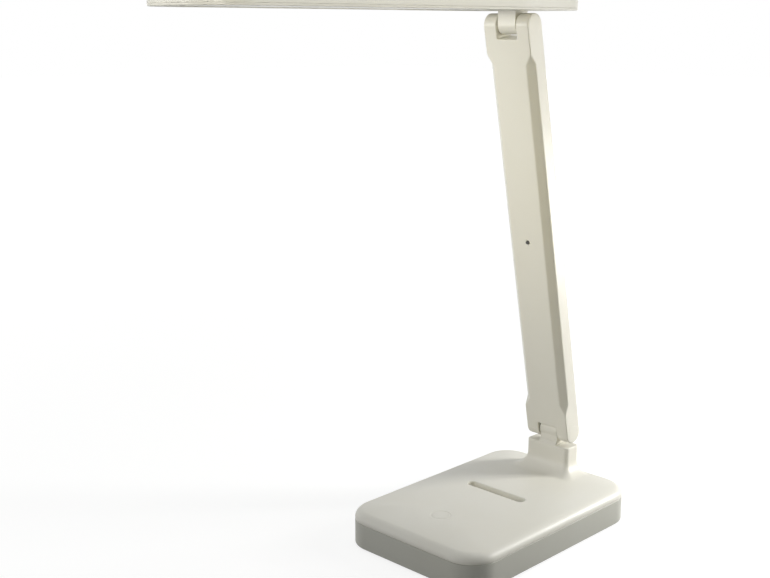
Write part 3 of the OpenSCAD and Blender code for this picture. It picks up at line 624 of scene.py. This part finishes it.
print("stage: top cover with neck")
cover = {"halfX": base["halfX"], "halfY": base["halfY"], "radius": base["radius"],
         "low": shellHigh[2] + 0.3, "lowRound": 0.22, "underInset": 2.5,
         "band": 16.8, "rise": 4.2, "run": 5.0, "pillow": 2.5, "pillowRun": 30.0,
         "neckX": 15.75, "neckY": 6.3, "neckAt": lowerAxis[1], "neckRadius": 2.6, "neckSpread": 0.35,
         "shoulder": lowerAxis[2] - 8.9, "shoulderRound": 0.7,
         "flare": 9.0, "flareFront": 9.0, "flareBack": 4.0,
         "stemX": 6.45, "stemY": 4.55, "stemFoot": 24.0, "cutReach": 10,
         "lidX": 10.15, "lidLow": 24.45, "lidHigh": 39.25,
         "wedgeX": 6.3, "wedgeRise": 2.0, "wedgeGrip": 0.5, "wedgeInset": 0.01, "wedgeDrop": 0.1,
         "rings": 96, "flareSteps": 12, "shoulderSteps": 4, "arcSteps": 16, "sideSteps": 26}
crownTop = cover["band"] + cover["rise"] + cover["pillow"]


def crownHeight(s, p):
    # height over the distance d in from the outline: a quarter ellipse at the edge under a slow parabola
    q = np.abs(p) - np.array([s["halfX"] - s["radius"], s["halfY"] - s["radius"]])
    outside = np.linalg.norm(np.maximum(q, 0), axis=-1) + np.minimum(q.max(axis=-1), 0)
    d = np.maximum(s["radius"] - outside, 0)
    edge, far = np.minimum(d / s["run"], 1), np.minimum(d / s["pillowRun"], 1)
    return s["band"] + s["rise"] * np.sqrt(1 - (1 - edge) ** 2) + s["pillow"] * (1 - (1 - far) ** 2)


def coverPlan(s, halfX, halfY, radius):
    # rounded rectangle with the same number of points in every ring of the cover
    return outline(halfX, halfY, radius, s["arcSteps"], s["sideSteps"])


def neckOutline(s, q):
    # neck section grown by q, by less of it at the front and back
    front, back = q * s["flareFront"] / s["flare"], q * s["flareBack"] / s["flare"]
    halfX, halfY = s["neckX"] + q, s["neckY"] + (front + back) / 2
    ring = coverPlan(s, halfX, halfY, s["neckRadius"] + q * s["neckSpread"])
    return ring + np.array([0, s["neckAt"] + (back - front) / 2])


def levelRing(plan, z):
    return np.column_stack([plan, np.full(len(plan), z)])


def makeCover(s):
    # rings from the flat underside out to the edge, over the crown, up the neck's flare and over its shoulder
    edge, r = coverPlan(s, s["halfX"], s["halfY"], s["radius"]), s["lowRound"]
    low = [(s["underInset"], s["low"]), (r, s["low"]), (r * midShare, s["low"] + r * midShare),
           (0, s["low"] + r)]
    rings = [levelRing(coverPlan(s, s["halfX"] - d, s["halfY"] - d, s["radius"] - d), z) for d, z in low]
    share = (np.arange(s["rings"] + 1) / s["rings"]) ** 3
    foot = neckOutline(s, s["flare"])
    field = edge + (foot - edge) * share[:, None, None]
    rings += list(np.concatenate([field, crownHeight(s, field)[..., None]], axis=-1))
    for a in np.radians(np.linspace(0, 90, s["flareSteps"] + 1))[1:]:
        p = neckOutline(s, s["flare"] * (1 - math.sin(a)))
        rings.append(np.column_stack([p, crownHeight(s, p) + s["flare"] * (1 - math.cos(a))]))
    top, wall, k = s["shoulder"], neckOutline(s, 0), s["shoulderRound"]
    foot, steps = rings[-1][:, 2], s["shoulderSteps"]
    rings += [np.column_stack([wall, foot + (top - k - foot) * up])
              for up in np.linspace(0, 1, steps + 1)[1:]]
    for a in np.radians(np.linspace(0, 90, steps + 1)[1:]):
        d = k * (1 - math.cos(a))
        p = coverPlan(s, s["neckX"] - d, s["neckY"] - d, s["neckRadius"] - d) + np.array([0, s["neckAt"]])
        rings.append(levelRing(p, top - k + k * math.sin(a)))
    return ringPiece("topCover", np.stack(rings))


groove = {"length": 43.0, "width": 6.4, "y": 4.0, "floor": crownTop - 8.0, "floorRound": 1.6,
          "top": crownTop, "lip": 0.7, "hair": 0.004, "cutReach": 3, "steps": 64,
          "wellWall": 1.0, "wellGrip": 1.5}


def stadium(s, radius):
    # long round-ended outline about the groove: two half circles of the radius, joined by straight sides
    a = np.linspace(0, 2 * math.pi, s["steps"], endpoint=False)
    x = np.sign(np.cos(a) + 1e-9) * (s["length"] / 2 - s["width"] / 2) + radius * np.cos(a)
    return x, s["y"] + radius * np.sin(a)


def grooveTool(s):
    # stadium rings from the rounded floor up to a lip that flares over the rim
    k, f, rim = s["lip"], s["floorRound"], s["top"] - s["lip"]
    rows = [np.array([[-f, s["floor"]]]), quarter(-f, s["floor"] + f, f, f, -90, 0, 5),
            np.array([[0, rim]]), quarter(k, rim, k, k, 180, 90, 5)[1:-1],
            np.array([[k, s["top"] + s["hair"]], [k, s["top"] + s["cutReach"]]])]
    rows = np.concatenate(rows)
    x, y = stadium(s, s["width"] / 2 + rows[:, 0][:, None])
    z = np.broadcast_to(rows[:, 1][:, None], x.shape)
    return ringPiece("grooveTool", np.stack([x, y, z], axis=-1))


def wellTool(s):
    # block under the cover that carries the groove's floor
    x, y = stadium(s, s["width"] / 2 + s["wellWall"])
    plan = np.column_stack([x, y])
    levels = (s["floor"] - s["wellWall"], s["floor"] + s["wellGrip"])
    return ringPiece("wellTool", np.stack([levelRing(plan, z) for z in levels]))


touchRing = {"radius": 5.6, "line": 0.95, "lift": 0.76, "y": -46.0, "top": crownTop,
             "around": 72, "across": 20}


def ringTool(s):
    # round section carried round a circle, so that it leaves a shallow hollow line
    a = np.linspace(0, 2 * math.pi, s["around"], endpoint=False)[:, None]
    b = np.linspace(0, 2 * math.pi, s["across"], endpoint=False)[None, :]
    reach = s["radius"] + s["line"] * np.cos(b)
    z = s["top"] + s["lift"] + s["line"] * np.sin(b) + 0 * a
    pts = np.stack([reach * np.cos(a), s["y"] + reach * np.sin(a), z], axis=-1)
    faces = gridFaces(s["around"], s["across"], True)
    return meshPiece("ringTool", pts.reshape(-1, 3), [f[::-1] for f in faces])


def wedgeTool(s):
    # leads the neck's front face up and back to the knuckle's stem
    front = s["neckAt"] - s["neckY"] + s["wedgeInset"]
    stem = s["neckAt"] - s["neckY"] + (s["neckY"] - s["stemY"])
    level = s["shoulder"] - s["shoulderRound"]
    side = np.array([[front, level - s["wedgeDrop"]], [stem + s["wedgeGrip"], level - s["wedgeDrop"]],
                     [stem + s["wedgeGrip"], s["shoulder"] + s["wedgeRise"]],
                     [stem, s["shoulder"] + s["wedgeRise"]], [front, level]])
    rings = np.stack([np.column_stack([np.full(len(side), x), side])
                      for x in (-s["wedgeX"], s["wedgeX"])])
    return ringPiece("wedge", rings)


def neckTools(s):
    # room for the knuckle's stem, and the recess of the lid behind it
    at, reach = s["neckAt"], s["cutReach"]
    stemLow = (-s["stemX"], at - s["stemY"], s["stemFoot"])
    stemHigh = (s["stemX"], at + s["stemY"], s["shoulder"] + reach)
    lidLow = (-s["lidX"], at + s["stemY"], s["lidLow"])
    lidHigh = (s["lidX"], at + reach, s["lidHigh"])
    return [boxTool("pocket", stemLow, stemHigh), boxTool("lid", lidLow, lidHigh)]


topCover = makeCover(cover)
combine(topCover, [wedgeTool(cover), wellTool(groove)], "UNION")
combine(topCover, [grooveTool(groove), ringTool(touchRing)] + neckTools(cover))
shadeSmooth(topCover, 30)
dress(topCover, "base", ivory, "shell_ivory", "base_top_cover")


print("stage: softened parts")
edgeRounds = {"arm_front_shell": 0.7, "arm_back_cover": 0.25, "neck_back_cover": 0.25, "neck_knuckle": 0.3,
              "head_knuckle": 0.3}
for name, width in edgeRounds.items():
    softenNode(name, width)

caps = {"face": boxOf("arm_front_shell")[1][0], "proud": 0.1, "crown": 0.06, "crownRadius": 2.6,
        "flatRadius": 4.4, "roundRadius": 4.85, "lid": 5.1, "plug": 4.2, "deep": 1.2, "axle": 0.25,
        "steps": 56}


def makeCaps(s, name, axis):
    # a profile of radius and depth turned about the hinge axis: crowned lid on the cheek, plug behind it
    proud, back = s["proud"], s["proud"] - s["deep"]
    profile = np.array([[s["axle"], proud + s["crown"]], [s["crownRadius"], proud + s["crown"] * 0.75],
                        [s["flatRadius"], proud + 0.01], [s["roundRadius"], proud - 0.02], [s["lid"], 0.03],
                        [s["lid"], -0.01], [s["plug"], -0.02], [s["plug"], back], [s["axle"], back]])
    turn = np.linspace(0, 2 * math.pi, s["steps"], endpoint=False)[None, :]
    radius, depth = profile[:, 0][:, None], profile[:, 1][:, None]
    pieces = []
    for side in (1, -1):
        x = side * (s["face"] + depth) + 0 * turn
        y, z = axis[1] + side * radius * np.cos(turn), axis[2] + radius * np.sin(turn)
        pieces.append(ringPiece(name, np.stack([x, y, z], axis=-1)[::-1]))
    return shadeSmooth(combine(pieces[0], [pieces[1]], "UNION"), 50)


dress(makeCaps(caps, "lowerHingeCaps", lowerAxis), "arm", ivory, "shell_ivory", "lower_hinge_caps")
dress(makeCaps(caps, "upperHingeCaps", upperAxis), "arm", ivory, "shell_ivory", "upper_hinge_caps")


print("stage: head")
topLow, topHigh = boxOf("head_top_shell")
panelLow, panelHigh = boxOf("diffuser_panel")
head = {"halfX": topHigh[0], "halfY": (topHigh[1] - topLow[1]) / 2, "radius": 22.0,
        "y": (topHigh[1] + topLow[1]) / 2, "under": boxOf("head_bottom_bezel")[0][2], "top": topHigh[2],
        "floor": 1.2, "wall": 1.8, "innerBreak": 2, "edgeRun": 3.6, "edgeRise": 3.6, "rimBreak": 0.12,
        "bezelRound": 0.55, "parting": 0.05, "arcSteps": 24, "sideSteps": 24}


def headPlan(s, inset, z):
    # the head's outline drawn in by an inset, at one height
    ring = outline(s["halfX"] - inset, s["halfY"] - inset, s["radius"] - inset, s["arcSteps"], s["sideSteps"])
    return levelRing(ring + [0, s["y"]], z)


def makeHeadShell(s):
    # inner ceiling, inner wall, parting rim, upright side and a quarter-ellipse edge up to the level top
    wall, ceiling, low = s["wall"], s["top"] - s["wall"], s["under"] + s["floor"] + s["parting"]
    run, rise, side, k = s["edgeRun"], s["edgeRise"], s["top"] - s["edgeRise"], s["rimBreak"]
    profile = [(wall + s["innerBreak"], ceiling), (wall, ceiling - s["innerBreak"]), (wall, low), (k, low),
               (0, low + k), (0, side), quarter(run, side, run, rise, 180, 90, 12)]
    plan = (s["halfX"], s["halfY"], s["radius"])
    return shadeSmooth(profileLoft("headShell", plan, profile, (0, s["y"]), s["arcSteps"], s["sideSteps"]))


dress(makeHeadShell(head), "head", ivory, "shell_ivory", "head_top_shell")

bezel = {"lip": 1.6, "panelGap": 0.15, "seat": 0.5, "seatRise": 1.5, "seatWall": 1,
         "windowEdge": 0.3, "windowFlat": 1.0, "windowRadius": 15.0,
         "windowAt": (panelHigh[1] + panelLow[1]) / 2,
         "footFlat": 0.4, "rimBreak": 0.1, "rimFlat": 1.9, "roundSteps": 5,
         "slotX": 6.45, "slotY": 5.55, "screwX": 19.0, "screwY": 16.5, "screwSeat": 1.95, "screwDeep": 0.5,
         "cutBelow": 1, "cutAbove": 2}
bezel["windowX"] = panelHigh[0] - bezel["lip"] + bezel["panelGap"]
bezel["windowY"] = (panelHigh[1] - panelLow[1]) / 2 - bezel["lip"] + bezel["panelGap"]


def windowPlan(s, w, grow, z):
    # the lit window's outline let out by an amount, at one height
    sizes = w["windowX"] + grow, w["windowY"] + grow, w["windowRadius"] + grow
    return levelRing(outline(*sizes, s["arcSteps"], s["sideSteps"]) + [0, w["windowAt"]], z)


def makeBezel(s, w):
    # the section runs round the frame: window edge, underside, rounded outer edge, parting face, panel seat
    low, high, r, lip = s["under"], s["under"] + s["floor"], s["bezelRound"], w["lip"]
    seat, seatTop, edge, k = low + w["seat"], high + w["seatRise"], w["windowEdge"], w["rimBreak"]
    turns = np.radians(np.linspace(0, 90, w["roundSteps"] + 1)[1:])
    rings = [windowPlan(s, w, 0.0, seat), windowPlan(s, w, 0.0, low + edge), windowPlan(s, w, edge, low),
             windowPlan(s, w, w["windowFlat"], low), headPlan(s, r + w["footFlat"], low), headPlan(s, r, low)]
    rings += [headPlan(s, r - r * math.sin(a), low + r - r * math.cos(a)) for a in turns]
    rings += [headPlan(s, 0, high - k), headPlan(s, k, high), headPlan(s, w["rimFlat"], high),
              windowPlan(s, w, lip + w["seatWall"], high), windowPlan(s, w, lip + w["seatWall"], seatTop),
              windowPlan(s, w, lip, seatTop), windowPlan(s, w, lip, seat)]
    piece = ringPiece("headBezel", np.stack(rings), True)
    at, cut = upperAxis[1], low - w["cutBelow"]
    slotHigh = (w["slotX"], at + w["slotY"], high + w["cutAbove"])
    cuts = [boxTool("slot", (-w["slotX"], at - w["slotY"], cut), slotHigh)]
    cuts += [roundTool("screwSeat", (x, at + w["screwY"]), w["screwSeat"], cut, low + w["screwDeep"])
             for x in (-w["screwX"], w["screwX"])]
    return shadeSmooth(combine(piece, cuts))


dress(makeBezel(head, bezel), "head", ivory, "shell_ivory", "head_bottom_bezel")

panel = {"low": panelLow[2], "high": panelHigh[2], "edge": 0.2, "arcSteps": 20, "sideSteps": 20}


def makeDiffuser(s, w):
    # opal panel in its seat, its lower face just inside the window's edge
    grow, k = w["lip"] - w["panelGap"], s["edge"]
    plan = (w["windowX"] + grow, w["windowY"] + grow, w["windowRadius"] + grow)
    profile = [(k, s["low"]), (0, s["low"] + k), (0, s["high"] - k), (k, s["high"])]
    piece = profileLoft("diffuserPanel", plan, profile, (0, w["windowAt"]), s["arcSteps"], s["sideSteps"])
    return shadeSmooth(piece)


dress(makeDiffuser(panel, bezel), "head", milky, "milky_panel", "diffuser_panel")


print("stage: floor and light")
studio = {"floorHalf": 6.0, "floorColor": (0.30, 0.30, 0.29), "floorTint": 0.96,
          "nearGlow": 0.80, "farGlow": 1.0, "reach": 1.6, "frontSky": (-0.50, -0.625, 0.23)}


def seenRay(tree):
    # 1 for rays that show the background: from the camera, in a reflection or through glass
    path = addNode(tree, "ShaderNodeLightPath")
    gloss = calc(tree, "MAXIMUM", path.outputs["Is Glossy Ray"], path.outputs["Is Transmission Ray"])
    return calc(tree, "MAXIMUM", path.outputs["Is Camera Ray"], gloss)


def makeFloor(s):
    h = s["floorHalf"] / mm
    corners = np.array([[-h, -h, 0], [h, -h, 0], [h, h, 0], [-h, h, 0]], float)
    floor = meshPiece("floor", corners, [[0, 1, 2, 3]])
    material, tree, shader = newMaterial("studioFloor")
    at = addNode(tree, "ShaderNodeTexCoord").outputs["Object"]
    tinted = tuple(c * s["floorTint"] for c in s["floorColor"])
    tree.links.new(blendColor(tree, spread(tree, noiseOf(tree, at, 3.0), 0.0, 1.0), s["floorColor"], tinted),
                   shader.inputs["Base Color"])
    shader.inputs["Roughness"].default_value = 0.9
    shader.inputs["Specular IOR Level"].default_value = 0.0
    # the floor turns to plain white away from the lamp, and near it keeps the shadow
    far = addNode(tree, "ShaderNodeVectorMath", operation="LENGTH")
    tree.links.new(at, far.inputs[0])
    away = calc(tree, "DIVIDE", far.outputs["Value"], s["reach"], clamp=True)
    glow = calc(tree, "ADD", s["nearGlow"], calc(tree, "MULTIPLY", away, s["farGlow"] - s["nearGlow"]))
    shader.inputs["Emission Color"].default_value = (1, 1, 1, 1)
    tree.links.new(calc(tree, "MULTIPLY", seenRay(tree), glow), shader.inputs["Emission Strength"])
    floor.data.materials.append(material)


def skyShare(tree, towards):
    # sky light that grows with the cosine of the angle to one direction
    at = addNode(tree, "ShaderNodeTexCoord").outputs["Generated"]
    dot = addNode(tree, "ShaderNodeVectorMath", operation="DOT_PRODUCT")
    tree.links.new(at, dot.inputs[0])
    dot.inputs[1].default_value = towards
    return calc(tree, "MAXIMUM", dot.outputs["Value"], 0.0)


def makeWorld(s):
    # soft sky light on the lamp, plain white where the background itself is seen
    world = bpy.data.worlds.new("studioWorld")
    bpy.context.scene.world = world
    world.use_nodes = True
    tree = world.node_tree
    back = tree.nodes["Background"]
    back.inputs["Color"].default_value = (1, 1, 1, 1)
    seen = seenRay(tree)
    light = skyShare(tree, s["frontSky"])
    tree.links.new(calc(tree, "ADD", seen, calc(tree, "MULTIPLY", light, calc(tree, "SUBTRACT", 1.0, seen))),
                   back.inputs["Strength"])


# places and sizes in metres, power in watts, beam in degrees
lamps = {
    "keyFar": {"place": (0.50, 0.50, 0.40), "aim": (0.0, 0.0, 0.05), "size": (0.06, 0.40), "power": 2.2},
    "keyNear": {"place": (0.20, 0.30, 0.14), "aim": (0.03, 0.04, 0.02), "size": (0.04, 0.10), "power": 0.80,
                "color": (1.0, 0.99, 0.97)},
    "armFill": {"place": (-0.42, -0.62, 0.30), "aim": (0.0, 0.03, 0.24), "size": (0.12, 0.20), "power": 0.13,
                "beam": 36},
    "chamferFill": {"place": (0.45, -0.50, 0.30), "aim": (0.0, 0.02, 0.21), "size": (0.08, 0.16),
                    "power": 0.024, "beam": 26, "color": (1.0, 0.88, 0.45)},
    "headFill": {"place": (0.60, -0.85, 0.31), "aim": (0.0, -0.20, 0.31), "size": (0.10, 0.10), "power": 0.06,
                 "beam": 20, "color": (1.0, 0.97, 0.88)},
    "topBack": {"place": (0.05, 0.15, 1.1), "aim": (0.0, 0.0, 0.0), "size": (0.7, 0.7), "power": 2.6,
                "color": (0.91, 0.96, 1.0)}}


def softLight(name, s):
    # one area lamp that faces its aim; a lamp without a beam spreads over the whole half space
    light = bpy.data.lights.new(name, "AREA")
    light.shape, light.energy = "RECTANGLE", s["power"]
    light.size, light.size_y = s["size"]
    light.spread, light.color = math.radians(s.get("beam", 180)), s.get("color", (1, 1, 1))
    obj = bpy.data.objects.new(name, light)
    obj.location = s["place"]
    obj.rotation_euler = (Vector(s["aim"]) - Vector(s["place"])).to_track_quat("-Z", "Y").to_euler()
    bpy.context.scene.collection.objects.link(obj)


makeFloor(studio)
makeWorld(studio)
for name, lamp in lamps.items():
    softLight(name, lamp)


print("stage: finish")
